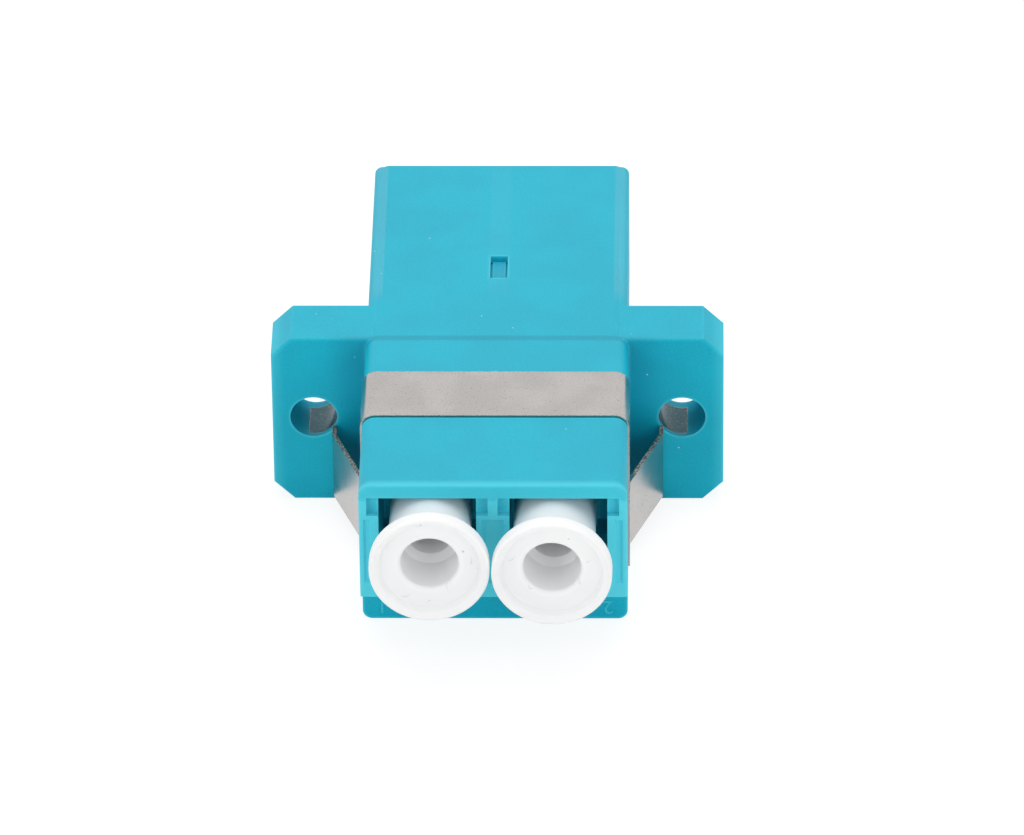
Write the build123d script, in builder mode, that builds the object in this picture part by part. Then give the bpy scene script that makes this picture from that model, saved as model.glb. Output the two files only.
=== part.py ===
# Duplex fibre optic adapter with a panel clip, lined flange holes and two dust caps.
# The origin lies midway between the two flange holes, on the flange face that meets the panel.
# X runs along the flange, -Y points out of the front ports and Z points up from the latch side.
from build123d import *
import math
import os

os.makedirs("parts", exist_ok=True)

# Flange and body
flange_width = 22.05
flange_height = 9.46
flange_depth = 3.0
flange_corner_cut = 1.0
flange_front_round = 0.15
flange_back_round = 0.08
land_height = 0.07
base_drop = 4.88
front_width = 12.78
rear_width = 12.7
front_reach = 12.7
rear_reach = 12.58
front_top_round = 0.65
rear_top_round = 0.4
bottom_round = 0.48
mouth_edge_round = 0.12
land_width = 11.4
land_ramp = 0.2

# Ports
port_pitch = 6.25
port_width = 4.66
port_height = 4.64
top_wall = 0.7
notch_span = 5.78
notch_height = 1.02
notch_depth = 0.34
nose_length = 2.6
nose_bottom_drop = 1.09
latch_slot_width = 3.6
latch_slot_drop = 2.6
latch_slot_length = 8.2
catch_depth = 3.7
catch_drop = 1.6
catch_length = 3.6
cut_overlap = 0.2
pocket_top_drop = 1.25
pocket_height = 3.68
pocket_draft = 45.0
side_pocket_width = 0.38
side_pocket_lip = 0.2
side_pocket_depth = 0.12
divider_pocket_width = 1.11
divider_pocket_depth = 0.2

# Barrels and sleeves
web_thickness = 1.0
barrel_diameter = 2.7
barrel_length = 3.05
barrel_lip_bore = 1.4
barrel_mouth = 2.0
sleeve_diameter = 1.62
sleeve_bore = 1.25
sleeve_length = 6.8
sleeve_slit = 0.25
sleeve_play = 0.065
sleeve_end_play = 0.05

# Insert that closes the rear
insert_play = 0.03
groove_depth = 0.3
snap_window_width = 0.85
snap_window_length = 1.94
snap_window_start = 2.31
hook_side_gap = 0.1
hook_front_gap = 0.12
hook_below_top = 0.32
arm_height = 0.7
arm_slit = 0.35
arm_root_run = 5.2

# Panel clip
clip_thickness = 0.2
clip_width = 3.78
clip_start = 3.06
clip_groove = 0.12
clip_play = 0.01
clip_groove_side_play = 0.05
clip_bend = 0.75
clip_leg_foot = 0.75
wing_height = 3.6
wing_slit = 0.12
wing_root_run = 1.9
wing_spread = 1.6
wing_tip_length = 0.8
wing_tip_gap = 0.03
wing_bend = 0.35

# Flange holes and their liners
hole_pitch = 18.0
hole_diameter = 2.3
liner_wall = 0.1
liner_angle = 207.0
liner_length = 2.2
liner_inset = 0.3
liner_play = 0.01

# Dust caps
cap_stem_diameter = 3.97
cap_stem_length = 13.0
cap_stem_tip_cut = 0.15
cap_barrel_play = 0.2
cap_web = 0.9
cap_head_gap = 0.51
cap_head_thickness = 0.85
cap_rim_slope = 0.2
cap_rim_width = 0.4
cap_step_depth = 0.28
cap_floor_inset = 0.14
cap_floor_slope = 0.2
cap_bore_mouth = 2.76
cap_bore_length = 2.12
cap_neck_length = 0.36
cap_neck_diameter = 2.15
cap_bore_depth = 8.6
cap_edge_round = 0.1
cap_mouth_round = 0.16
left_cap_gap = 2.35
left_cap_lean = 0.3
left_cap_rise = 1.28
left_cap_shift = 0.08
right_cap_gap = 2.5
right_cap_lean = -1.35
right_cap_rise = 0.7
right_cap_shift = 0.03

# Heights and stations that follow from the sizes above
base_z = -base_drop
strip_z = base_z + flange_height
top_z = strip_z + land_height
body_height = top_z - base_z
port_top = top_z - top_wall
port_bottom = port_top - port_height
axis_z = port_bottom + port_height / 2
nose_bottom = port_bottom - nose_bottom_drop
divider_width = port_pitch - port_width
ports_span = port_pitch + port_width
front_mouth = -front_reach
rear_mouth = flange_depth + rear_reach
middle = flange_depth / 2
web_front = middle - web_thickness
plate_rear = middle + web_thickness
barrel_front = web_front - barrel_length
barrel_rear = plate_rear + barrel_length
sleeve_front = middle - sleeve_length / 2
sleeve_rear = middle + sleeve_length / 2
lip_front = sleeve_front - sleeve_end_play
lip_rear = sleeve_rear + sleeve_end_play
lip_length = lip_front - barrel_front
lip_slope = math.degrees(math.atan2((barrel_mouth - barrel_lip_bore) / 2, lip_length))
window_start = flange_depth + snap_window_start
window_end = window_start + snap_window_length
clip_back = -clip_start
clip_front = clip_back - clip_width
cap_head_diameter = port_pitch - cap_head_gap
cap_ring_diameter = cap_head_diameter - 2 * cap_rim_width
cap_floor_diameter = cap_ring_diameter - 2 * cap_floor_inset


def at_y(y):
    # Upright plane across the adapter: its X is the model's X and its Y is the model's Z.
    return Plane.XZ.offset(-y)


def rounded_section(width, height, top_round):
    # Outline of the body, standing on the latch side.
    with BuildSketch(Plane.XY, mode=Mode.PRIVATE) as section:
        with Locations((0, base_z + height / 2)):
            Rectangle(width, height)
        corners = section.vertices().group_by(Axis.Y)
        fillet(corners[-1], radius=top_round)
        fillet(section.vertices().group_by(Axis.Y)[0], radius=bottom_round)
    return section.sketch


def liner_face(bore, wall, side):
    # One C-shaped section around a flange hole, closed towards the body and open outwards.
    towards_body = math.degrees(math.atan2(0, -side))
    start = towards_body - liner_angle / 2
    with BuildSketch(Plane.XY, mode=Mode.PRIVATE) as section:
        with BuildLine():
            inner = CenterArc((side * hole_pitch / 2, 0), bore / 2, start, liner_angle)
            outer = CenterArc((side * hole_pitch / 2, 0), bore / 2 + wall, start, liner_angle)
            Line(inner @ 0, outer @ 0)
            Line(inner @ 1, outer @ 1)
        make_face()
    return section.sketch


# Housing: one moulding with the flange, both front ports, the front barrels and the rear shell
with BuildPart() as housing:
    # Flange plate with cut corners and softened edges
    with BuildSketch(at_y(flange_depth)) as flange_outline:
        with Locations((0, base_z + flange_height / 2)):
            Rectangle(flange_width, flange_height)
        chamfer(flange_outline.vertices(), length=flange_corner_cut)
    extrude(amount=flange_depth)
    flange_faces = housing.faces().filter_by(Axis.Y).sort_by(Axis.Y)
    fillet(flange_faces[0].edges(), radius=flange_front_round)
    fillet(housing.faces().sort_by(Axis.Y)[-1].edges(), radius=flange_back_round)

    # Front body, then the rear shell with a raised land on top, each with its mouth edge softened
    with BuildSketch(at_y(middle)):
        add(rounded_section(front_width, body_height, front_top_round))
    extrude(amount=front_reach + middle)
    fillet(housing.faces().sort_by(Axis.Y)[0].edges(), radius=mouth_edge_round)
    with BuildSketch(at_y(rear_mouth)):
        add(rounded_section(rear_width, flange_height, rear_top_round))
        with BuildLine():
            Polyline(
                (-land_width / 2 - land_ramp, strip_z),
                (-land_width / 2, top_z),
                (land_width / 2, top_z),
                (land_width / 2 + land_ramp, strip_z),
                (land_width / 2, axis_z),
                (-land_width / 2, axis_z),
                close=True,
            )
        make_face()
    extrude(amount=rear_mouth)
    fillet(housing.faces().sort_by(Axis.Y)[-1].edges(), radius=mouth_edge_round)

    # The latch side is set back from each mouth, which leaves a nose above it
    with BuildSketch(at_y(front_mouth + nose_length)):
        with Locations((0, (nose_bottom + base_z) / 2)):
            Rectangle(flange_width, nose_bottom - base_z)
    extrude(amount=nose_length, mode=Mode.SUBTRACT)
    with BuildSketch(at_y(rear_mouth)):
        with Locations((0, (nose_bottom + base_z) / 2)):
            Rectangle(flange_width, nose_bottom - base_z)
    extrude(amount=nose_length, mode=Mode.SUBTRACT)

    # Front port cavities down to the middle web
    with BuildSketch(at_y(web_front)):
        with Locations((0, axis_z)):
            with GridLocations(port_pitch, port_height, 2, 1):
                Rectangle(port_width, port_height)
    extrude(amount=web_front - front_mouth, mode=Mode.SUBTRACT)

    # Rear chamber, wide enough for both rear ports and the insert between them
    with BuildSketch(at_y(rear_mouth)):
        with Locations((0, axis_z)):
            Rectangle(ports_span, port_height)
    extrude(amount=rear_mouth - middle, mode=Mode.SUBTRACT)

    # Grooves in roof and floor that guide the insert's divider
    with BuildSketch(at_y(rear_mouth)):
        with Locations((0, axis_z)):
            Rectangle(divider_width + 2 * insert_play, port_height + 2 * groove_depth)
    extrude(amount=rear_mouth - plate_rear, mode=Mode.SUBTRACT)

    # Snap window in the roof
    with BuildSketch(Plane.XY.offset(port_top)):
        with Locations((0, (window_start + window_end) / 2)):
            Rectangle(snap_window_width, snap_window_length)
    extrude(amount=2 * top_wall, mode=Mode.SUBTRACT)

    # Keyhole latch slots under each port, at both ends
    latch_height = latch_slot_drop + cut_overlap
    for slot_start in (front_mouth + latch_slot_length, rear_mouth):
        with BuildSketch(at_y(slot_start)):
            with Locations((0, port_bottom + cut_overlap - latch_height / 2)):
                with GridLocations(port_pitch, latch_height, 2, 1):
                    Rectangle(latch_slot_width, latch_height)
        extrude(amount=latch_slot_length, mode=Mode.SUBTRACT)

    # Wider pockets behind the ledges, where the latch shoulders of a connector catch
    catch_height = catch_drop + cut_overlap
    for catch_start in (front_mouth + catch_depth + catch_length, rear_mouth - catch_depth):
        with BuildSketch(at_y(catch_start)):
            with Locations((0, port_bottom + cut_overlap - catch_height / 2)):
                with GridLocations(port_pitch, catch_height, 2, 1):
                    Rectangle(port_width, catch_height)
        extrude(amount=catch_length, mode=Mode.SUBTRACT)

    # Shallow notches at the upper corners of the front port mouths
    with BuildSketch(at_y(front_mouth + notch_depth)):
        with Locations((0, port_top - notch_height / 2)):
            with GridLocations(port_pitch, notch_height, 2, 1):
                Rectangle(notch_span, notch_height)
    extrude(amount=notch_depth, mode=Mode.SUBTRACT)
    with BuildSketch(at_y(rear_mouth)):
        with Locations((0, port_top - notch_height / 2)):
            Rectangle(port_pitch + notch_span, notch_height)
    extrude(amount=notch_depth, mode=Mode.SUBTRACT)

    # Sunk panels on the front face: one in the divider and one in each side wall
    pocket_z = port_top - pocket_top_drop - pocket_height / 2
    side_pocket_x = front_width / 2 - side_pocket_lip - side_pocket_width / 2
    with BuildSketch(at_y(front_mouth)):
        with Locations((-side_pocket_x, pocket_z), (side_pocket_x, pocket_z)):
            Rectangle(side_pocket_width, pocket_height)
    extrude(amount=-side_pocket_depth, taper=pocket_draft, mode=Mode.SUBTRACT)
    with BuildSketch(at_y(front_mouth)):
        with Locations((0, pocket_z)):
            Rectangle(divider_pocket_width, pocket_height)
    extrude(amount=-divider_pocket_depth, taper=pocket_draft, mode=Mode.SUBTRACT)

    # Front half barrels on the web, each with a lip that keeps its sleeve in and a flared mouth
    with BuildSketch(at_y(web_front)):
        with Locations((0, axis_z)):
            with GridLocations(port_pitch, port_height, 2, 1):
                Circle(barrel_diameter / 2)
    extrude(amount=barrel_length)
    with BuildSketch(at_y(middle)):
        with Locations((0, axis_z)):
            with GridLocations(port_pitch, port_height, 2, 1):
                Circle(sleeve_diameter / 2 + sleeve_play)
    extrude(amount=middle - lip_front, mode=Mode.SUBTRACT)
    with BuildSketch(at_y(lip_front)):
        with Locations((0, axis_z)):
            with GridLocations(port_pitch, port_height, 2, 1):
                Circle(barrel_lip_bore / 2)
    extrude(amount=lip_length, taper=-lip_slope, mode=Mode.SUBTRACT)

    # Groove around the top and sides that seats the panel clip
    clip_foot_z = base_z + clip_leg_foot
    groove_floor = front_width / 2 - clip_groove
    with BuildSketch(at_y(clip_back + clip_groove_side_play)) as clip_groove_section:
        with Locations((0, (clip_foot_z + top_z) / 2)):
            Rectangle(front_width + 2 * clip_groove, top_z - clip_foot_z + 2 * clip_groove)
        with BuildSketch(Plane.XY, mode=Mode.PRIVATE) as groove_core:
            with Locations((0, (base_z + top_z - clip_groove) / 2)):
                Rectangle(2 * groove_floor, top_z - clip_groove - base_z)
            fillet(groove_core.vertices().group_by(Axis.Y)[-1], radius=clip_bend - clip_thickness)
        add(groove_core.sketch, mode=Mode.SUBTRACT)
    extrude(amount=clip_width + 2 * clip_groove_side_play, mode=Mode.SUBTRACT)

    # Flange holes and the seats of their liners
    with BuildSketch(at_y(flange_depth)):
        with GridLocations(hole_pitch, hole_pitch, 2, 1):
            Circle(hole_diameter / 2)
    extrude(amount=flange_depth, mode=Mode.SUBTRACT)
    with BuildSketch(at_y(liner_inset + liner_length)):
        for side in (-1, 1):
            add(liner_face(hole_diameter, liner_wall + liner_play, side))
    extrude(amount=liner_length, mode=Mode.SUBTRACT)

housing.part.label = "housing"

# Rear insert: the closing plate, the rear half barrels and the divider with its snap arm
divider_top = port_top + groove_depth - insert_play
divider_floor = port_bottom - groove_depth + insert_play
arm_floor = port_top - arm_height
hook_width = snap_window_width - 2 * hook_side_gap
with BuildPart() as rear_insert:
    with BuildSketch(at_y(plate_rear)):
        with Locations((0, axis_z)):
            Rectangle(ports_span - 2 * insert_play, port_height - 2 * insert_play)
    extrude(amount=web_thickness)
    with BuildSketch(at_y(barrel_rear)):
        with Locations((0, axis_z)):
            with GridLocations(port_pitch, port_height, 2, 1):
                Circle(barrel_diameter / 2)
    extrude(amount=barrel_length)

    # Divider between the rear ports, running in the guide grooves
    with BuildSketch(at_y(rear_mouth)):
        with Locations((0, (divider_top + divider_floor) / 2)):
            Rectangle(divider_width, divider_top - divider_floor)
    extrude(amount=rear_mouth - plate_rear - insert_play)
    with BuildSketch(at_y(rear_mouth)):
        with Locations((0, axis_z)):
            Rectangle(divider_width, port_height - 2 * insert_play)
    extrude(amount=rear_mouth - plate_rear)

    # Slits that free the snap arm at its front and underside
    with BuildSketch(Plane.YZ):
        with BuildLine():
            arm_front = window_start - arm_slit
            Polyline(
                (arm_front - arm_slit, divider_top),
                (arm_front, divider_top),
                (arm_front, arm_floor),
                (arm_front + arm_root_run, arm_floor),
                (arm_front + arm_root_run, arm_floor - arm_slit),
                (arm_front - arm_slit, arm_floor - arm_slit),
                close=True,
            )
        make_face()
    extrude(amount=divider_width, both=True, mode=Mode.SUBTRACT)

    # Hook on the arm, sloped at the front and square at the rear where it holds
    with BuildSketch(Plane.YZ):
        with BuildLine():
            Polyline(
                (window_start + hook_front_gap, divider_top - groove_depth),
                (window_start + hook_front_gap, divider_top),
                (window_start + 2 * hook_below_top, top_z - hook_below_top),
                (window_end - insert_play, top_z - hook_below_top),
                (window_end - insert_play, divider_top - groove_depth),
                close=True,
            )
        make_face()
    extrude(amount=hook_width / 2, both=True)

    # Sleeve chambers and the flared mouths that guide a ferrule in
    with BuildSketch(at_y(lip_rear)):
        with Locations((0, axis_z)):
            with GridLocations(port_pitch, port_height, 2, 1):
                Circle(sleeve_diameter / 2 + sleeve_play)
    extrude(amount=lip_rear - middle, mode=Mode.SUBTRACT)
    with BuildSketch(at_y(barrel_rear)):
        with Locations((0, axis_z)):
            with GridLocations(port_pitch, port_height, 2, 1):
                Circle(barrel_mouth / 2)
    extrude(amount=barrel_rear - lip_rear, taper=lip_slope, mode=Mode.SUBTRACT)

    # Upper corner notches and the sunk panel of the divider at the rear mouth
    with BuildSketch(at_y(rear_mouth)):
        for side in (-1, 1):
            with Locations((side * port_pitch / 2, divider_top - notch_height / 2)):
                Rectangle(notch_span, notch_height)
    extrude(amount=notch_depth, mode=Mode.SUBTRACT)
    with BuildSketch(at_y(rear_mouth)):
        with Locations((0, pocket_z)):
            Rectangle(divider_pocket_width, pocket_height)
    extrude(amount=divider_pocket_depth, taper=pocket_draft, mode=Mode.SUBTRACT)

rear_insert.part.label = "rear_insert"

# Alignment sleeves: slit ceramic tubes held between the two halves of each barrel
sleeves = {}
for side, name in ((-1, "split_sleeve_left"), (1, "split_sleeve_right")):
    with BuildPart() as sleeve:
        with BuildSketch(at_y(sleeve_rear)):
            with Locations((side * port_pitch / 2, axis_z)):
                Circle(sleeve_diameter / 2)
                Circle(sleeve_bore / 2, mode=Mode.SUBTRACT)
            with Locations((side * port_pitch / 2, axis_z + sleeve_diameter / 2)):
                Rectangle(sleeve_slit, sleeve_diameter, mode=Mode.SUBTRACT)
        extrude(amount=sleeve_length)
    sleeve.part.label = name
    sleeves[name] = sleeve.part

# Panel clip: one strip of spring steel folded over the body, with a sprung wing on each leg
clip_inner = groove_floor + clip_play
clip_outer = clip_inner + clip_thickness
clip_top = top_z - clip_groove + clip_play + clip_thickness
leg_foot_z = base_z + clip_leg_foot + clip_groove_side_play
wing_top = leg_foot_z + wing_height
wing_root_y = clip_front + wing_root_run
leg_middle = (clip_inner + clip_outer) / 2
wing_x = leg_middle + wing_spread
with BuildPart() as panel_clip:
    # Band and legs in one folded section
    with BuildSketch(at_y(clip_back)) as clip_section:
        with Locations((0, (leg_foot_z + clip_top) / 2)):
            Rectangle(2 * clip_outer, clip_top - leg_foot_z)
        fillet(clip_section.vertices().group_by(Axis.Y)[-1], radius=clip_bend)
        with BuildSketch(Plane.XY, mode=Mode.PRIVATE) as clip_core:
            with Locations((0, (leg_foot_z + clip_top) / 2 - clip_thickness)):
                Rectangle(2 * clip_inner, clip_top - leg_foot_z)
            fillet(clip_core.vertices().group_by(Axis.Y)[-1], radius=clip_bend - clip_thickness)
        add(clip_core.sketch, mode=Mode.SUBTRACT)
    extrude(amount=clip_width)

    # The lower back part of each leg is cut free, because the wing is bent out of it
    with BuildSketch(Plane.XY.offset(leg_foot_z)):
        with Locations((0, (wing_root_y + clip_back) / 2)):
            Rectangle(4 * clip_outer, clip_back - wing_root_y)
    extrude(amount=wing_height + wing_slit, mode=Mode.SUBTRACT)

    # Wings that lean out towards the flange and end parallel to the body
    for side in (-1, 1):
        with BuildSketch(Plane.XY.offset(leg_foot_z)):
            with BuildLine():
                FilletPolyline(
                    (side * leg_middle, wing_root_y - wing_root_run / 2),
                    (side * leg_middle, wing_root_y),
                    (side * wing_x, -wing_tip_gap - wing_tip_length),
                    (side * wing_x, -wing_tip_gap),
                    radius=wing_bend,
                )
            trace(line_width=clip_thickness)
        extrude(amount=wing_height)

panel_clip.part.label = "panel_clip"

# Hole liners: rolled steel strips that keep the screws off the plastic
liners = {}
for side, name in ((-1, "hole_liner_left"), (1, "hole_liner_right")):
    with BuildPart() as liner:
        with BuildSketch(at_y(liner_inset + liner_length)):
            add(liner_face(hole_diameter, liner_wall, side))
        extrude(amount=liner_length)
    liner.part.label = name
    liners[name] = liner.part


def cap_solid(port_x, gap, lean, rise, shift):
    # One turned cap, drawn along its own axis from the inner end of the stem outwards.
    out = Vector(math.tan(math.radians(lean)), -1, math.tan(math.radians(rise))).normalized()
    inner_end = Vector(port_x + shift, front_mouth - gap + cap_stem_length, axis_z)
    drawing = Plane(origin=inner_end, x_dir=out, z_dir=out.cross(Vector(0, 0, 1)))
    front = cap_stem_length + cap_head_thickness
    floor = front - cap_rim_slope - cap_step_depth
    bore_front = floor - cap_floor_slope
    bore_bottom = bore_front - cap_bore_depth
    with BuildPart() as cap:
        with BuildSketch(drawing):
            with BuildLine():
                Polyline(
                    (bore_bottom - cap_web, 0),
                    (bore_bottom - cap_web, barrel_diameter / 2 + cap_barrel_play),
                    (0, barrel_diameter / 2 + cap_barrel_play),
                    (0, cap_stem_diameter / 2 - cap_stem_tip_cut),
                    (cap_stem_tip_cut, cap_stem_diameter / 2),
                    (cap_stem_length, cap_stem_diameter / 2),
                    (cap_stem_length, cap_head_diameter / 2),
                    (front, cap_head_diameter / 2),
                    (front - cap_rim_slope, cap_ring_diameter / 2),
                    (floor, cap_floor_diameter / 2),
                    (bore_front, cap_bore_mouth / 2),
                    (bore_front - cap_bore_length, cap_bore_mouth / 2),
                    (bore_front - cap_bore_length - cap_neck_length, cap_neck_diameter / 2),
                    (bore_bottom, cap_neck_diameter / 2),
                    (bore_bottom, 0),
                    close=True,
                )
            make_face()
        revolve(axis=Axis(inner_end, out))
        circles = cap.edges().filter_by(GeomType.CIRCLE)
        rim_edges = circles.filter_by(lambda e: math.isclose(e.radius, cap_head_diameter / 2))
        fillet(rim_edges, radius=cap_edge_round)
        circles = cap.edges().filter_by(GeomType.CIRCLE)
        mouth_edges = circles.filter_by(lambda e: math.isclose(e.radius, cap_bore_mouth / 2))
        fillet(mouth_edges.sort_by(Axis.Y)[0], radius=cap_mouth_round)
    return cap.part


# Dust caps: both are pulled part of the way out of their ports and lean a little
left_port_x = -port_pitch / 2
right_port_x = port_pitch / 2
caps = {
    "dust_cap_left": cap_solid(left_port_x, left_cap_gap, left_cap_lean, left_cap_rise, left_cap_shift),
    "dust_cap_right": cap_solid(right_port_x, right_cap_gap, right_cap_lean, right_cap_rise, right_cap_shift),
}

export_step(housing.part, "parts/housing.step")
export_step(rear_insert.part, "parts/rear_insert.step")
export_step(panel_clip.part, "parts/panel_clip.step")
for name, solid in {**sleeves, **liners, **caps}.items():
    solid.label = name
    export_step(solid, f"parts/{name}.step")
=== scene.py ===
import math

import bpy
from mathutils import Matrix, Vector


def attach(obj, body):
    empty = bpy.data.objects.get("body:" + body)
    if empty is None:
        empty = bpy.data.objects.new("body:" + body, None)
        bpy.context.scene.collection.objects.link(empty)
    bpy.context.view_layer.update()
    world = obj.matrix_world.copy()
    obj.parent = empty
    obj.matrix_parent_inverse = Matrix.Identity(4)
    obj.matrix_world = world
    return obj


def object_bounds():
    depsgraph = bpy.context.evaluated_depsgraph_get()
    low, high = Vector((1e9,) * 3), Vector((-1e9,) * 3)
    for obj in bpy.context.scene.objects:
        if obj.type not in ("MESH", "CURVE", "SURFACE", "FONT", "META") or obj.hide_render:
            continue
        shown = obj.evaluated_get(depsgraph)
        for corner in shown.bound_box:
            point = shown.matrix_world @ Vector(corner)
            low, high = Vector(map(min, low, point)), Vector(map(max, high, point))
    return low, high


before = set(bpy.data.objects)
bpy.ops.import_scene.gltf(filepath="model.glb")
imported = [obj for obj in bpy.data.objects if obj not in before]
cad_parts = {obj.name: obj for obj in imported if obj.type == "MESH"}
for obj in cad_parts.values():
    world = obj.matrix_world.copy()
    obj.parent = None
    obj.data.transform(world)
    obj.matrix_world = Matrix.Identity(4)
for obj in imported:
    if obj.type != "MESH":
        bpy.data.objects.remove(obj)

cad_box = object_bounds()
scene = bpy.context.scene
scene.view_settings.view_transform = "Standard"


# The place where the adapter lies: a white table under soft lamps, and the camera that looks down at its
# front from a little over half a metre. The table is painted white for the camera and for reflections, and
# it still takes the adapter's shadow.
TABLE_SIZE = 1.6
CAMERA_PLACE = (0.00913, -0.37941, 0.25769)
CAMERA_TURN = 1.274
CAMERA_DOWN = 34.18
CAMERA_ROLL = -0.669
FOCAL_PER_WIDTH = 9.166
SENSOR_WIDTH = 36.0

camera_data = bpy.data.cameras.new("camera")
camera_data.sensor_width = SENSOR_WIDTH
camera_data.lens = FOCAL_PER_WIDTH * SENSOR_WIDTH
camera_data.clip_start = 0.01
camera = bpy.data.objects.new("camera", camera_data)
camera.matrix_world = (
    Matrix.Translation(CAMERA_PLACE)
    @ Matrix.Rotation(math.radians(CAMERA_TURN), 4, "Z")
    @ Matrix.Rotation(math.radians(90 - CAMERA_DOWN), 4, "X")
    @ Matrix.Rotation(math.radians(CAMERA_ROLL), 4, "Z")
)
scene.collection.objects.link(camera)
scene.camera = camera


def seen_directly(nodes, links):
    # 1 where the camera, a mirror-like surface or glass looks straight at something, otherwise 0
    path = nodes.new("ShaderNodeLightPath")
    either = nodes.new("ShaderNodeMath")
    either.operation = "MAXIMUM"
    any_of = nodes.new("ShaderNodeMath")
    any_of.operation = "MAXIMUM"
    links.new(path.outputs["Is Camera Ray"], either.inputs[0])
    links.new(path.outputs["Is Glossy Ray"], either.inputs[1])
    links.new(either.outputs[0], any_of.inputs[0])
    links.new(path.outputs["Is Transmission Ray"], any_of.inputs[1])
    return any_of.outputs[0]


def table_material():
    material = bpy.data.materials.new("table_white")
    material.use_nodes = True
    nodes, links = material.node_tree.nodes, material.node_tree.links
    nodes.clear()
    seen = seen_directly(nodes, links)
    tone = nodes.new("ShaderNodeMix")
    tone.data_type = "RGBA"
    colours = [socket for socket in tone.inputs if socket.type == "RGBA"]
    colours[0].default_value = (0.9, 0.9, 0.9, 1)
    colours[1].default_value = (0.26, 0.26, 0.26, 1)
    paint = nodes.new("ShaderNodeBsdfDiffuse")
    glow = nodes.new("ShaderNodeEmission")
    lift = nodes.new("ShaderNodeMath")
    lift.operation = "MULTIPLY"
    lift.inputs[1].default_value = 0.83
    both = nodes.new("ShaderNodeAddShader")
    out = nodes.new("ShaderNodeOutputMaterial")
    links.new(seen, tone.inputs["Factor"])
    links.new([socket for socket in tone.outputs if socket.type == "RGBA"][0], paint.inputs["Color"])
    links.new(seen, lift.inputs[0])
    links.new(lift.outputs[0], glow.inputs["Strength"])
    links.new(paint.outputs[0], both.inputs[0])
    links.new(glow.outputs[0], both.inputs[1])
    links.new(both.outputs[0], out.inputs["Surface"])
    return material


table_mesh = bpy.data.meshes.new("table")
half = TABLE_SIZE / 2
table_z = cad_box[0][2]
table_mesh.from_pydata(
    [(-half, -half, table_z), (half, -half, table_z), (half, half, table_z), (-half, half, table_z)],
    [],
    [(0, 1, 2, 3)],
)
table_mesh.materials.append(table_material())
table = bpy.data.objects.new("table", table_mesh)
scene.collection.objects.link(table)

world = bpy.data.worlds.new("white_room")
world.use_nodes = True
scene.world = world
room = world.node_tree
room_light = room.nodes["Background"]
room_light.inputs["Color"].default_value = (1, 1, 1, 1)
room_mix = room.nodes.new("ShaderNodeMapRange")
room_mix.inputs["To Min"].default_value = 0.62
room_mix.inputs["To Max"].default_value = 1.0
room.links.new(seen_directly(room.nodes, room.links), room_mix.inputs["Value"])
room.links.new(room_mix.outputs["Result"], room_light.inputs["Strength"])


def soft_lamp(name, place, size, power):
    lamp_data = bpy.data.lights.new(name, "AREA")
    lamp_data.shape = "RECTANGLE"
    lamp_data.size, lamp_data.size_y = size
    lamp_data.energy = power
    lamp = bpy.data.objects.new(name, lamp_data)
    lamp.location = place
    lamp.rotation_euler = (-Vector(place)).to_track_quat("-Z", "Y").to_euler()
    scene.collection.objects.link(lamp)


soft_lamp("lamp_above", (0.0, 0.12, 0.55), (0.5, 0.4), 1.2)
soft_lamp("lamp_front_left", (-0.5, -0.55, 0.35), (0.35, 0.35), 0.95)
soft_lamp("lamp_front_right", (0.5, -0.55, 0.35), (0.35, 0.35), 0.85)


# Housing: the aqua moulding that carries everything, in filled polyester with a fine sparked finish. Its thin
# walls, flange ends and edges are painted paler, as painted light for the light that gets into them. The
# flange root is painted darker as painted shade, and a pale painted sheen lies on the faces that look up.
# Moulded in one shot with both port numbers on its latch side.
AQUA = (0.001, 0.46, 0.62, 1)
AQUA_DEEP = (0.0, 0.425, 0.58, 1)
AQUA_PALE = (0.10, 0.72, 0.86, 1)
AQUA_ROOT_SHADE = (0.0, 0.16, 0.27, 1)
SHEEN_COLOUR = (0.72, 0.78, 0.80, 1)
EDGE_REACH = 0.0003
THIN_WALL_FROM = -0.0121
THIN_WALL_TO = -0.01255
THIN_WALL_TOP = 0.0039
REAR_STRIP_FROM = 0.00562
FLANGE_RIM_FROM = 0.0103
FLANGE_RIM_TO = 0.011
ROOT_FROM = 0.0066
ROOT_TO = 0.0086
SINK_STRIPE_HALF_WIDTH = 0.0004
GRAIN_PER_METRE = 9000.0
CLOUD_PER_METRE = 300.0
SPECK_PER_METRE = 2600.0
NUMERAL_HEIGHT = 0.00108
NUMERAL_RELIEF = 0.00003


def node(tree, kind, **settings):
    made = tree.nodes.new(kind)
    for key, value in settings.items():
        setattr(made, key, value)
    return made


def math_node(tree, operation, first, second=0.0):
    made = node(tree, "ShaderNodeMath", operation=operation)
    for socket, value in zip(made.inputs, (first, second)):
        if isinstance(value, (int, float)):
            socket.default_value = value
        else:
            tree.links.new(value, socket)
    return made.outputs[0]


def step_up(tree, value, low, high, to_low=0.0, to_high=1.0):
    made = node(tree, "ShaderNodeMapRange", interpolation_type="SMOOTHSTEP")
    tree.links.new(value, made.inputs["Value"])
    made.inputs["From Min"].default_value = low
    made.inputs["From Max"].default_value = high
    made.inputs["To Min"].default_value = to_low
    made.inputs["To Max"].default_value = to_high
    return made.outputs["Result"]


def blend_colour(tree, share, first, second):
    made = node(tree, "ShaderNodeMix", data_type="RGBA")
    if isinstance(share, (int, float)):
        made.inputs["Factor"].default_value = share
    else:
        tree.links.new(share, made.inputs["Factor"])
    colour_in = [socket for socket in made.inputs if socket.type == "RGBA"]
    for socket, value in zip(colour_in, (first, second)):
        if isinstance(value, tuple):
            socket.default_value = value
        else:
            tree.links.new(value, socket)
    return [socket for socket in made.outputs if socket.type == "RGBA"][0]


def noise(tree, place, scale, detail=2.0):
    made = node(tree, "ShaderNodeTexNoise")
    made.inputs["Scale"].default_value = scale
    made.inputs["Detail"].default_value = detail
    tree.links.new(place, made.inputs["Vector"])
    return made.outputs["Fac"]


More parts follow.
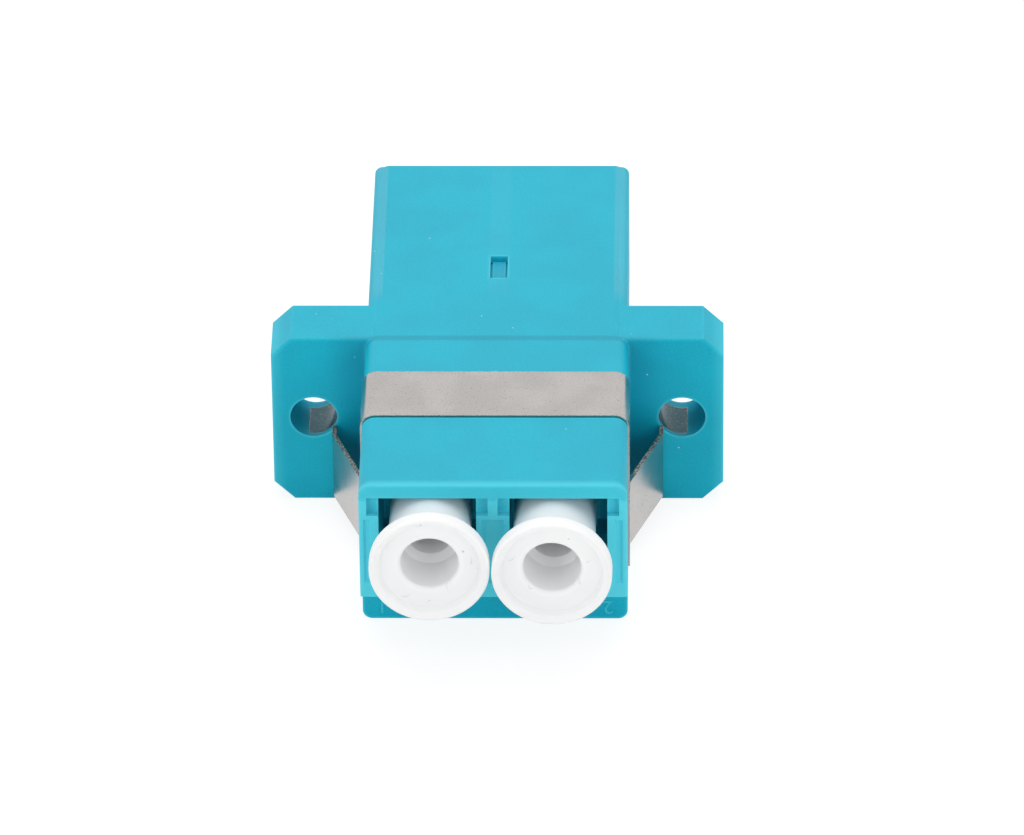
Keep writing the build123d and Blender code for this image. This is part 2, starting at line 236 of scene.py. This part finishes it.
def edge_mask(tree, reach):
    # how far the surface turns away within a short reach: 0 on flats, more along edges
    rounded = node(tree, "ShaderNodeBevel", samples=6)
    rounded.inputs["Radius"].default_value = reach
    shape = node(tree, "ShaderNodeNewGeometry")
    dot = node(tree, "ShaderNodeVectorMath", operation="DOT_PRODUCT")
    tree.links.new(rounded.outputs["Normal"], dot.inputs[0])
    tree.links.new(shape.outputs["Normal"], dot.inputs[1])
    return math_node(tree, "SUBTRACT", 1.0, dot.outputs["Value"])


def speck_mask(tree, place, per_metre, share, radius):
    # small dots in a few of the cells of a cell pattern
    cells = node(tree, "ShaderNodeTexVoronoi")
    cells.inputs["Scale"].default_value = per_metre
    tree.links.new(place, cells.inputs["Vector"])
    split = node(tree, "ShaderNodeSeparateColor")
    tree.links.new(cells.outputs["Color"], split.inputs["Color"])
    chosen = math_node(tree, "GREATER_THAN", split.outputs["Red"], 1.0 - share)
    near = step_up(tree, cells.outputs["Distance"], radius * 0.5, radius, 1.0, 0.0)
    return math_node(tree, "MULTIPLY", chosen, near)


def parts_of(tree, vector):
    split = node(tree, "ShaderNodeSeparateXYZ")
    tree.links.new(vector, split.inputs[0])
    return split.outputs


def aqua_plastic(name, shift):
    material = bpy.data.materials.new(name)
    material.use_nodes = True
    tree = material.node_tree
    surface = tree.nodes["Principled BSDF"]
    true_place = node(tree, "ShaderNodeTexCoord").outputs["Object"]
    moved = node(tree, "ShaderNodeMapping")
    moved.inputs["Location"].default_value = (shift, 0, 0)
    tree.links.new(true_place, moved.inputs["Vector"])
    place = moved.outputs["Vector"]
    across, along, height = parts_of(tree, true_place)
    outward = math_node(tree, "ABSOLUTE", across)
    facing = parts_of(tree, node(tree, "ShaderNodeNewGeometry").outputs["Normal"])
    grain = noise(tree, place, GRAIN_PER_METRE, 3.0)
    cloud = noise(tree, place, CLOUD_PER_METRE, 2.0)
    colour = blend_colour(tree, step_up(tree, cloud, 0.35, 0.65), AQUA_DEEP, AQUA)
    colour = blend_colour(tree, step_up(tree, grain, 0.35, 0.75, 0.0, 0.10), colour, AQUA_PALE)
    # painted light: the front faces round the port mouths are lightened in colour, for the light that comes
    # through the thin walls
    paler = step_up(tree, height, THIN_WALL_TOP - 0.0002, THIN_WALL_TOP, 0.92, 0.55)
    thin = math_node(tree, "MULTIPLY", step_up(tree, along, THIN_WALL_TO, THIN_WALL_FROM, 1.0, 0.0), paler)
    colour = blend_colour(tree, thin, colour, AQUA_PALE)
    # painted light: the ends of the flange are lightened for the light they let in; painted shade darkens the
    # flange's front face at its root by the body
    rim = step_up(tree, outward, FLANGE_RIM_FROM, FLANGE_RIM_TO, 0.0, 0.3)
    colour = blend_colour(tree, rim, colour, AQUA_PALE)
    # painted shade: the flange's front face next to the body is darkened, standing in for the light that
    # reaches it less
    behind_front = step_up(tree, along, -0.0003, -0.0001)
    near_front = step_up(tree, along, 0.0001, 0.0003, 1.0, 0.0)
    on_front = math_node(tree, "MULTIPLY", behind_front, near_front)
    root = math_node(tree, "MULTIPLY", on_front, step_up(tree, outward, ROOT_FROM, ROOT_TO, 0.32, 0.0))
    colour = blend_colour(tree, root, colour, AQUA_ROOT_SHADE)
    # painted sheen on the upper faces, a pale veil for the light they reflect, more of it on the two low
    # strips beside the rear land and a trace along the centre stripe
    upward = step_up(tree, facing["Z"], 0.6, 0.95)
    strip = step_up(tree, outward, REAR_STRIP_FROM, REAR_STRIP_FROM + 0.0001)
    strip_sheen = math_node(tree, "MULTIPLY", strip, 0.06)
    stripe = step_up(tree, outward, SINK_STRIPE_HALF_WIDTH, SINK_STRIPE_HALF_WIDTH * 1.5, 1.0, 0.0)
    stripe_sheen = math_node(tree, "MULTIPLY", stripe, 0.012)
    rear = step_up(tree, along, 0.003, 0.0045)
    extra = math_node(tree, "MULTIPLY", rear, math_node(tree, "ADD", strip_sheen, stripe_sheen))
    painted_sheen = math_node(tree, "MULTIPLY", upward, math_node(tree, "ADD", extra, 0.028))
    colour = blend_colour(tree, painted_sheen, colour, SHEEN_COLOUR)
    # painted highlight: the edges are lightened toward pale aqua
    edges = math_node(tree, "MULTIPLY", step_up(tree, edge_mask(tree, EDGE_REACH), 0.01, 0.3), 0.75)
    colour = blend_colour(tree, edges, colour, AQUA_PALE)
    specks = speck_mask(tree, place, SPECK_PER_METRE, 0.02, 0.13)
    colour = blend_colour(tree, math_node(tree, "MULTIPLY", specks, 0.6), colour, (0.7, 0.9, 0.95, 1))
    tree.links.new(colour, surface.inputs["Base Color"])
    tree.links.new(step_up(tree, cloud, 0.3, 0.7, 0.44, 0.5), surface.inputs["Roughness"])
    surface.inputs["Specular IOR Level"].default_value = 0.2
    bump = node(tree, "ShaderNodeBump")
    bump.inputs["Strength"].default_value = 0.35
    bump.inputs["Distance"].default_value = 0.00001
    tree.links.new(grain, bump.inputs["Height"])
    tree.links.new(bump.outputs["Normal"], surface.inputs["Normal"])
    return material


def dress(name, material):
    # gives a construction piece its finish
    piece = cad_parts[name]
    for slot in piece.material_slots:
        slot.material = material
    return piece


def as_plain_mesh(maker, name):
    # the finished form of an object as a mesh of its own; the object that made it is removed
    bpy.context.view_layer.update()
    finished = maker.evaluated_get(bpy.context.evaluated_depsgraph_get())
    mesh = bpy.data.meshes.new_from_object(finished)
    mesh.name = name
    bpy.data.objects.remove(maker)
    return mesh


aqua_housing = aqua_plastic("aqua_plastic", 0.0)
dress("housing", aqua_housing)

# The port numbers stand in low relief on the latch side, upside down as the adapter lies here
NUMERAL_PLACES = {"1": (-0.00545, -0.0101, -0.00417), "2": (0.00545, -0.0101, -0.00417)}
for digit, spot in NUMERAL_PLACES.items():
    letters = bpy.data.curves.new(f"port_number_{digit}", "FONT")
    letters.body = digit
    letters.size = NUMERAL_HEIGHT
    letters.extrude = NUMERAL_RELIEF
    letters.align_x = "CENTER"
    letters.align_y = "CENTER"
    maker = bpy.data.objects.new("port_number_maker", letters)
    scene.collection.objects.link(maker)
    number_mesh = as_plain_mesh(maker, f"port_number_{digit}")
    number_mesh.transform(
        Matrix.Translation(spot) @ Matrix.Rotation(math.pi, 4, "Y") @ Matrix.Rotation(math.pi / 2, 4, "X")
    )
    number_mesh.materials.clear()
    number_mesh.materials.append(aqua_housing)
    number = bpy.data.objects.new(f"port_number_{digit}", number_mesh)
    scene.collection.objects.link(number)
    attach(number, "adapter")


# Rear insert: moulded in the same aqua plastic as a piece of its own. It is pushed in from the rear and
# its hook snaps into the small window on top.
dress("rear_insert", aqua_plastic("aqua_plastic_insert", 0.013))


# Alignment sleeves: two slit tubes of ground zirconia, white and very smooth, loose inside the barrels.
def ceramic():
    material = bpy.data.materials.new("zirconia")
    material.use_nodes = True
    tree = material.node_tree
    surface = tree.nodes["Principled BSDF"]
    place = node(tree, "ShaderNodeTexCoord").outputs["Object"]
    cloud = noise(tree, place, 2500.0, 3.0)
    colour = blend_colour(tree, cloud, (0.80, 0.80, 0.77, 1), (0.88, 0.88, 0.86, 1))
    tree.links.new(colour, surface.inputs["Base Color"])
    tree.links.new(step_up(tree, cloud, 0.3, 0.7, 0.12, 0.2), surface.inputs["Roughness"])
    return material


zirconia = ceramic()
for side in ("left", "right"):
    dress(f"split_sleeve_{side}", zirconia)


# Panel clip: bright spring steel strip, folded over the body. Its faces are rolled smooth with fine pits,
# and its sheared edges are rough and brownish.
SHEARED_DARK = (0.15, 0.125, 0.11, 1)
SHEARED_PALE = (0.68, 0.56, 0.48, 1)
WING_FROM = 0.0066


def spring_steel(name, bright, dull, pitted):
    material = bpy.data.materials.new(name)
    material.use_nodes = True
    tree = material.node_tree
    surface = tree.nodes["Principled BSDF"]
    place = node(tree, "ShaderNodeTexCoord").outputs["Object"]
    stretched = node(tree, "ShaderNodeMapping")
    stretched.inputs["Scale"].default_value = (0.25, 1.0, 1.0)
    tree.links.new(place, stretched.inputs["Vector"])
    rolling = noise(tree, stretched.outputs["Vector"], 6500.0, 4.0)
    cloud = noise(tree, place, 450.0, 2.0)
    fine = noise(tree, place, 12000.0, 3.0)
    large_pits = speck_mask(tree, place, 4100.0, pitted * 0.4, 0.2)
    small_pits = speck_mask(tree, place, 7900.0, pitted, 0.3)
    pits = math_node(tree, "MAXIMUM", large_pits, small_pits)
    colour = blend_colour(tree, step_up(tree, cloud, 0.35, 0.65), dull, bright)
    colour = blend_colour(tree, step_up(tree, rolling, 0.5, 0.8, 0.0, 0.25), colour, dull)
    colour = blend_colour(tree, step_up(tree, fine, 0.5, 0.75, 0.0, 0.5), colour, (0.30, 0.27, 0.26, 1))
    colour = blend_colour(tree, math_node(tree, "MULTIPLY", pits, 0.6), colour, (0.12, 0.09, 0.07, 1))
    # the strip's cut edges: all edges, and the upper and lower edges of the wings over their whole thickness
    across, along, _ = parts_of(tree, place)
    facing = parts_of(tree, node(tree, "ShaderNodeNewGeometry").outputs["Normal"])
    level = step_up(tree, math_node(tree, "ABSOLUTE", facing["Z"]), 0.85, 0.95)
    off_body = step_up(tree, math_node(tree, "ABSOLUTE", across), WING_FROM, WING_FROM + 0.0001)
    in_front = step_up(tree, along, -0.0001, 0.0, 1.0, 0.0)
    on_wing = math_node(tree, "MULTIPLY", level, math_node(tree, "MULTIPLY", off_body, in_front))
    sheared = math_node(tree, "MAXIMUM", step_up(tree, edge_mask(tree, 0.00012), 0.08, 0.3), on_wing)
    rough_edge = noise(tree, place, 11000.0, 3.0)
    brown = blend_colour(tree, step_up(tree, rough_edge, 0.4, 0.65), SHEARED_DARK, SHEARED_PALE)
    colour = blend_colour(tree, sheared, colour, brown)
    tree.links.new(colour, surface.inputs["Base Color"])
    surface.inputs["Metallic"].default_value = 1.0
    gloss = step_up(tree, cloud, 0.3, 0.7, 0.2, 0.26)
    dull_edge = math_node(tree, "MULTIPLY", sheared, 0.5)
    tree.links.new(math_node(tree, "MAXIMUM", gloss, dull_edge), surface.inputs["Roughness"])
    bump = node(tree, "ShaderNodeBump")
    bump.inputs["Strength"].default_value = 0.3
    bump.inputs["Distance"].default_value = 0.000004
    tree.links.new(rolling, bump.inputs["Height"])
    tree.links.new(bump.outputs["Normal"], surface.inputs["Normal"])
    return material


dress("panel_clip", spring_steel("clip_steel", (0.53, 0.505, 0.49, 1), (0.485, 0.465, 0.455, 1), 0.07))


# Hole liners: short rolled strips of the same kind of steel, sprung into the flange holes. Their colour is
# painted
# dark and teal: painted shade inside the holes and a painted reflection of the aqua plastic around them.
liner_steel = spring_steel("liner_steel", (0.05, 0.105, 0.125, 1), (0.036, 0.085, 0.105, 1), 0.03)
for side in ("left", "right"):
    dress(f"hole_liner_{side}", liner_steel)


# Dust caps: soft white caps, turned round, pushed over the barrels by their hollow stems. Light soaks into
# the plastic, and its surface has picked up specks and fine fibres.
CAP_WHITE = (0.975, 0.975, 0.975, 1)
CAP_SHADE = (0.95, 0.95, 0.955, 1)
STEM_PAINTED_SHADE = (0.81, 0.84, 0.855, 1)
BORE_PAINTED_LIGHT = (0.985, 0.99, 0.995, 1)
BORE_ZONE = 0.0016
HEAD_TO = -0.0148
STEM_FROM = -0.0140
FIBRE_LENGTH = 0.00055
FIBRE_RADIUS = 0.000007
FIBRES_PER_SQUARE_METRE = 520000.0
FIBRE_SWEEP = 1.9


def cap_white(name, shift, head_x, head_z):
    material = bpy.data.materials.new(name)
    material.use_nodes = True
    tree = material.node_tree
    surface = tree.nodes["Principled BSDF"]
    place = node(tree, "ShaderNodeTexCoord").outputs["Object"]
    moved = node(tree, "ShaderNodeMapping")
    moved.inputs["Location"].default_value = (shift, 0, 0)
    tree.links.new(place, moved.inputs["Vector"])
    across, along, height = parts_of(tree, place)
    from_x = math_node(tree, "ABSOLUTE", math_node(tree, "SUBTRACT", across, head_x))
    from_z = math_node(tree, "ABSOLUTE", math_node(tree, "SUBTRACT", height, head_z))
    x_squared = math_node(tree, "POWER", from_x, 2.0)
    z_squared = math_node(tree, "POWER", from_z, 2.0)
    from_axis = math_node(tree, "SQRT", math_node(tree, "ADD", x_squared, z_squared))
    place = moved.outputs["Vector"]
    cloud = noise(tree, place, 600.0, 3.0)
    grain = noise(tree, place, 8000.0, 3.0)
    colour = blend_colour(tree, step_up(tree, cloud, 0.3, 0.7), CAP_SHADE, CAP_WHITE)
    # painted shade: the stem, back from the head, is painted darker than the head
    colour = blend_colour(tree, step_up(tree, along, HEAD_TO, STEM_FROM), colour, STEM_PAINTED_SHADE)
    # painted light: the bore is painted a little paler than the rest of the cap
    in_bore = step_up(tree, from_axis, BORE_ZONE, BORE_ZONE + 0.0001, 1.0, 0.0)
    colour = blend_colour(tree, in_bore, colour, BORE_PAINTED_LIGHT)
    specks = speck_mask(tree, place, 1500.0, 0.05, 0.12)
    colour = blend_colour(tree, math_node(tree, "MULTIPLY", specks, 0.5), colour, (0.35, 0.33, 0.33, 1))
    tree.links.new(colour, surface.inputs["Base Color"])
    tree.links.new(step_up(tree, grain, 0.3, 0.7, 0.42, 0.55), surface.inputs["Roughness"])
    surface.inputs["Subsurface Weight"].default_value = 0.5
    surface.inputs["Subsurface Radius"].default_value = (1.0, 1.0, 1.0)
    surface.inputs["Subsurface Scale"].default_value = 0.0006
    bump = node(tree, "ShaderNodeBump")
    bump.inputs["Strength"].default_value = 0.25
    bump.inputs["Distance"].default_value = 0.000008
    tree.links.new(grain, bump.inputs["Height"])
    tree.links.new(bump.outputs["Normal"], surface.inputs["Normal"])
    return material


def fibre_material():
    material = bpy.data.materials.new("fibre_grey")
    material.use_nodes = True
    tree = material.node_tree
    surface = tree.nodes["Principled BSDF"]
    place = node(tree, "ShaderNodeTexCoord").outputs["Object"]
    tone = noise(tree, place, 1200.0, 2.0)
    colour = blend_colour(tree, step_up(tree, tone, 0.35, 0.65), (0.22, 0.21, 0.20, 1), (0.50, 0.48, 0.46, 1))
    tree.links.new(colour, surface.inputs["Base Color"])
    surface.inputs["Roughness"].default_value = 0.8
    return material


def fibre_tree():
    # short bent fibres, laid flat and turned at random on the faces in front of the port mouth
    tree = bpy.data.node_groups.new("fibres", "GeometryNodeTree")
    tree.interface.new_socket("Geometry", in_out="INPUT", socket_type="NodeSocketGeometry")
    inputs = (
        ("Amount", "NodeSocketFloat"),
        ("Length", "NodeSocketFloat"),
        ("Radius", "NodeSocketFloat"),
        ("Sweep", "NodeSocketFloat"),
        ("Furthest Back", "NodeSocketFloat"),
        ("Seed", "NodeSocketInt"),
        ("Material", "NodeSocketMaterial"),
    )
    for name, kind in inputs:
        tree.interface.new_socket(name, in_out="INPUT", socket_type=kind)
    tree.interface.new_socket("Geometry", in_out="OUTPUT", socket_type="NodeSocketGeometry")
    link = tree.links.new
    given = tree.nodes.new("NodeGroupInput").outputs
    made = tree.nodes.new("NodeGroupOutput").inputs

    split = tree.nodes.new("ShaderNodeSeparateXYZ")
    link(tree.nodes.new("GeometryNodeInputPosition").outputs[0], split.inputs[0])
    in_front = node(tree, "FunctionNodeCompare", data_type="FLOAT", operation="LESS_THAN")
    link(split.outputs["Y"], in_front.inputs["A"])
    link(given["Furthest Back"], in_front.inputs["B"])
    facing = tree.nodes.new("ShaderNodeSeparateXYZ")
    link(tree.nodes.new("GeometryNodeInputNormal").outputs[0], facing.inputs[0])
    looks_out = node(tree, "FunctionNodeCompare", data_type="FLOAT", operation="LESS_THAN")
    link(facing.outputs["Y"], looks_out.inputs["A"])
    looks_out.inputs["B"].default_value = -0.5
    wanted = node(tree, "FunctionNodeBooleanMath", operation="AND")
    link(in_front.outputs[0], wanted.inputs[0])
    link(looks_out.outputs[0], wanted.inputs[1])

    scatter = tree.nodes.new("GeometryNodeDistributePointsOnFaces")
    link(given["Geometry"], scatter.inputs["Mesh"])
    link(wanted.outputs[0], scatter.inputs["Selection"])
    link(given["Amount"], scatter.inputs["Density"])
    link(given["Seed"], scatter.inputs["Seed"])

    bend = node(tree, "ShaderNodeMath", operation="DIVIDE")
    link(given["Length"], bend.inputs[0])
    link(given["Sweep"], bend.inputs[1])
    arc = tree.nodes.new("GeometryNodeCurveArc")
    arc.inputs["Resolution"].default_value = 9
    link(bend.outputs[0], arc.inputs["Radius"])
    link(given["Sweep"], arc.inputs["Sweep Angle"])
    ring = node(tree, "GeometryNodeCurvePrimitiveCircle")
    ring.inputs["Resolution"].default_value = 4
    link(given["Radius"], ring.inputs["Radius"])
    fibre = tree.nodes.new("GeometryNodeCurveToMesh")
    fibre.inputs["Fill Caps"].default_value = True
    link(arc.outputs["Curve"], fibre.inputs["Curve"])
    link(ring.outputs["Curve"], fibre.inputs["Profile Curve"])
    back_by = node(tree, "ShaderNodeMath", operation="MULTIPLY")
    link(bend.outputs[0], back_by.inputs[0])
    back_by.inputs[1].default_value = -0.8
    offset = tree.nodes.new("ShaderNodeCombineXYZ")
    link(back_by.outputs[0], offset.inputs["X"])
    centred = tree.nodes.new("GeometryNodeTransform")
    link(fibre.outputs["Mesh"], centred.inputs["Geometry"])
    link(offset.outputs[0], centred.inputs["Translation"])

    turn = node(tree, "FunctionNodeRandomValue", data_type="FLOAT")
    turn_in = [socket for socket in turn.inputs if socket.type == "VALUE"]
    turn_in[0].default_value = 0.0
    turn_in[1].default_value = 2 * math.pi
    about_normal = tree.nodes.new("FunctionNodeAxisAngleToRotation")
    about_normal.inputs["Axis"].default_value = (0, 0, 1)
    link([socket for socket in turn.outputs if socket.type == "VALUE"][0], about_normal.inputs["Angle"])
    turned = node(tree, "FunctionNodeRotateRotation", rotation_space="LOCAL")
    link(scatter.outputs["Rotation"], turned.inputs["Rotation"])
    link(about_normal.outputs[0], turned.inputs["Rotate By"])
    size = node(tree, "FunctionNodeRandomValue", data_type="FLOAT")
    size_in = [socket for socket in size.inputs if socket.type == "VALUE"]
    size_in[0].default_value = 0.35
    size_in[1].default_value = 1.1

    laid = tree.nodes.new("GeometryNodeInstanceOnPoints")
    link(scatter.outputs["Points"], laid.inputs["Points"])
    link(centred.outputs["Geometry"], laid.inputs["Instance"])
    link(turned.outputs[0], laid.inputs["Rotation"])
    link([socket for socket in size.outputs if socket.type == "VALUE"][0], laid.inputs["Scale"])
    real = tree.nodes.new("GeometryNodeRealizeInstances")
    link(laid.outputs["Instances"], real.inputs["Geometry"])
    finish = tree.nodes.new("GeometryNodeSetMaterial")
    link(real.outputs["Geometry"], finish.inputs["Geometry"])
    link(given["Material"], finish.inputs["Material"])
    link(finish.outputs["Geometry"], made["Geometry"])
    return tree


fibres = fibre_tree()
fibre_sockets = {item.name: item.identifier for item in fibres.interface.items_tree if item.in_out == "INPUT"}
fibre_grey = fibre_material()
CAPS = (("left", 0.0, 4, -0.00297, 0.00194), ("right", 0.021, 11, 0.00283, 0.0018))
for side, shift, seed, head_x, head_z in CAPS:
    cap = dress(f"dust_cap_{side}", cap_white(f"cap_white_{side}", shift, head_x, head_z))
    maker = bpy.data.objects.new("fibre_maker", cap.data.copy())
    scene.collection.objects.link(maker)
    laying = maker.modifiers.new("fibres", "NODES")
    laying.node_group = fibres
    laying[fibre_sockets["Amount"]] = FIBRES_PER_SQUARE_METRE
    laying[fibre_sockets["Length"]] = FIBRE_LENGTH
    laying[fibre_sockets["Radius"]] = FIBRE_RADIUS
    laying[fibre_sockets["Sweep"]] = FIBRE_SWEEP
    laying[fibre_sockets["Furthest Back"]] = -0.0131
    laying[fibre_sockets["Seed"]] = seed
    laying[fibre_sockets["Material"]] = fibre_grey
    lint = bpy.data.objects.new(f"cap_fibres_{side}", as_plain_mesh(maker, f"cap_fibres_{side}"))
    scene.collection.objects.link(lint)
    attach(lint, f"{side}_cap")
